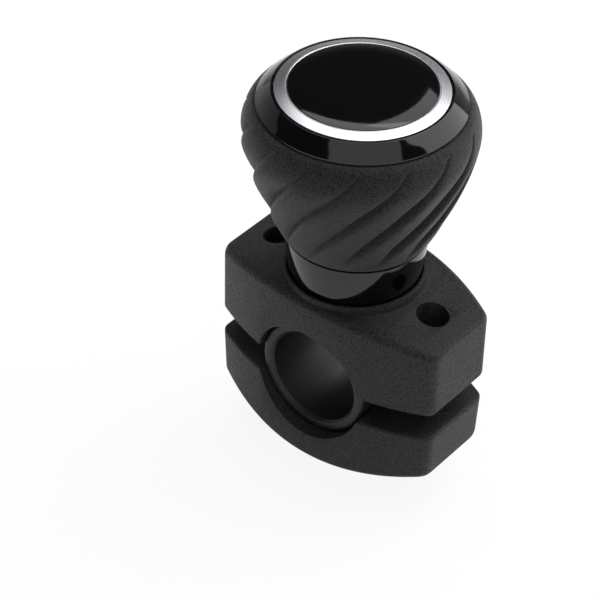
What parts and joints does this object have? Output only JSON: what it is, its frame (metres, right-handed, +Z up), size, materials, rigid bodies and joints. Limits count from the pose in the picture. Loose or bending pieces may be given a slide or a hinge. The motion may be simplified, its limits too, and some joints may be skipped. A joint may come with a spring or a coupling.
{
  "type": "steering wheel spinner knob",
  "caption": "Spinner knob with a swirl-grooved rubber grip turning on ball bearings over a screwed clamp, which grips a round wheel rim through a rubber liner.",
  "frame": {"origin": "centre of the rim bore, which is where the middle of the wheel rim's section lies", "axes": "+Z up the knob's axis, +X along the clamp through its two screws, +Y along the bore; the side that faces the viewer is -Y"},
  "size_m": [0.0584, 0.0497, 0.0912],
  "materials": {
    "grained_abs": "fine-grained moulded black ABS",
    "gloss_abs": "polished black ABS",
    "grip_rubber": "matte soft-touch black rubber",
    "liner_rubber": "smooth black rubber",
    "brushed_aluminium": "brushed round the ring, clear anodised",
    "bearing_steel": "ground and polished bearing steel",
    "zinc_steel": "bright zinc plate",
    "black_steel": "black oxide",
    "cage_nylon": "natural nylon",
    "brass": "turned brass"
  },
  "bodies": {
    "base": {"upper_clamp": "grained_abs", "rim_liner": "liner_rubber", "spindle_screw": "zinc_steel", "seat_washer": "zinc_steel", "top_washer": "zinc_steel", "spindle_lock_nut": "zinc_steel", "bearing_spacer": "zinc_steel", "lower_inner_race": "bearing_steel", "upper_inner_race": "bearing_steel"},
    "knob": {"knob_core": "gloss_abs", "grip_sleeve": "grip_rubber", "bezel": "gloss_abs", "trim_ring": "brushed_aluminium", "dome_cap": "gloss_abs", "lower_outer_race": "bearing_steel", "upper_outer_race": "bearing_steel"},
    "lower_bearing_cage": {"lower_cage": "cage_nylon", "lower_ball_1": "bearing_steel", "lower_ball_2": "bearing_steel", "lower_ball_3": "bearing_steel", "lower_ball_4": "bearing_steel", "lower_ball_5": "bearing_steel", "lower_ball_6": "bearing_steel"},
    "upper_bearing_cage": {"upper_cage": "cage_nylon", "upper_ball_1": "bearing_steel", "upper_ball_2": "bearing_steel", "upper_ball_3": "bearing_steel", "upper_ball_4": "bearing_steel", "upper_ball_5": "bearing_steel", "upper_ball_6": "bearing_steel"},
    "left_screw": {"clamp_screw_left": "black_steel"},
    "right_screw": {"clamp_screw_right": "black_steel"},
    "jaw": {"lower_clamp": "grained_abs", "threaded_insert_left": "brass", "threaded_insert_right": "brass"}
  },
  "joints": [
    {"name": "knob_spin", "type": "hinge", "parent": "base", "child": "knob", "pos_m": [0, 0, 0.045], "axis": [0, 0, 1], "continuous": true},
    {"name": "lower_cage_spin", "type": "hinge", "parent": "base", "child": "lower_bearing_cage", "pos_m": [0, 0, 0.025], "axis": [0, 0, 1], "continuous": true},
    {"name": "upper_cage_spin", "type": "hinge", "parent": "base", "child": "upper_bearing_cage", "pos_m": [0, 0, 0.039], "axis": [0, 0, 1], "continuous": true},
    {"name": "left_screw_turn", "type": "hinge", "parent": "base", "child": "left_screw", "pos_m": [-0.02105, 0, 0.00925], "axis": [0, 0, 1], "range_deg": [0, 3858]},
    {"name": "right_screw_turn", "type": "hinge", "parent": "base", "child": "right_screw", "pos_m": [0.02105, 0, 0.00925], "axis": [0, 0, 1], "range_deg": [0, 3858]},
    {"name": "jaw_slide", "type": "slide", "parent": "base", "child": "jaw", "axis": [0, 0, 1], "range_m": [-0.0075, 0]}
  ],
  "couplings": [
    {"joint": "lower_cage_spin", "follows": "knob_spin", "ratio": 0.64},
    {"joint": "upper_cage_spin", "follows": "knob_spin", "ratio": 0.64},
    {"joint": "left_screw_turn", "follows": "jaw_slide", "rad_per_m": -8976},
    {"joint": "right_screw_turn", "follows": "jaw_slide", "rad_per_m": -8976}
  ]
}
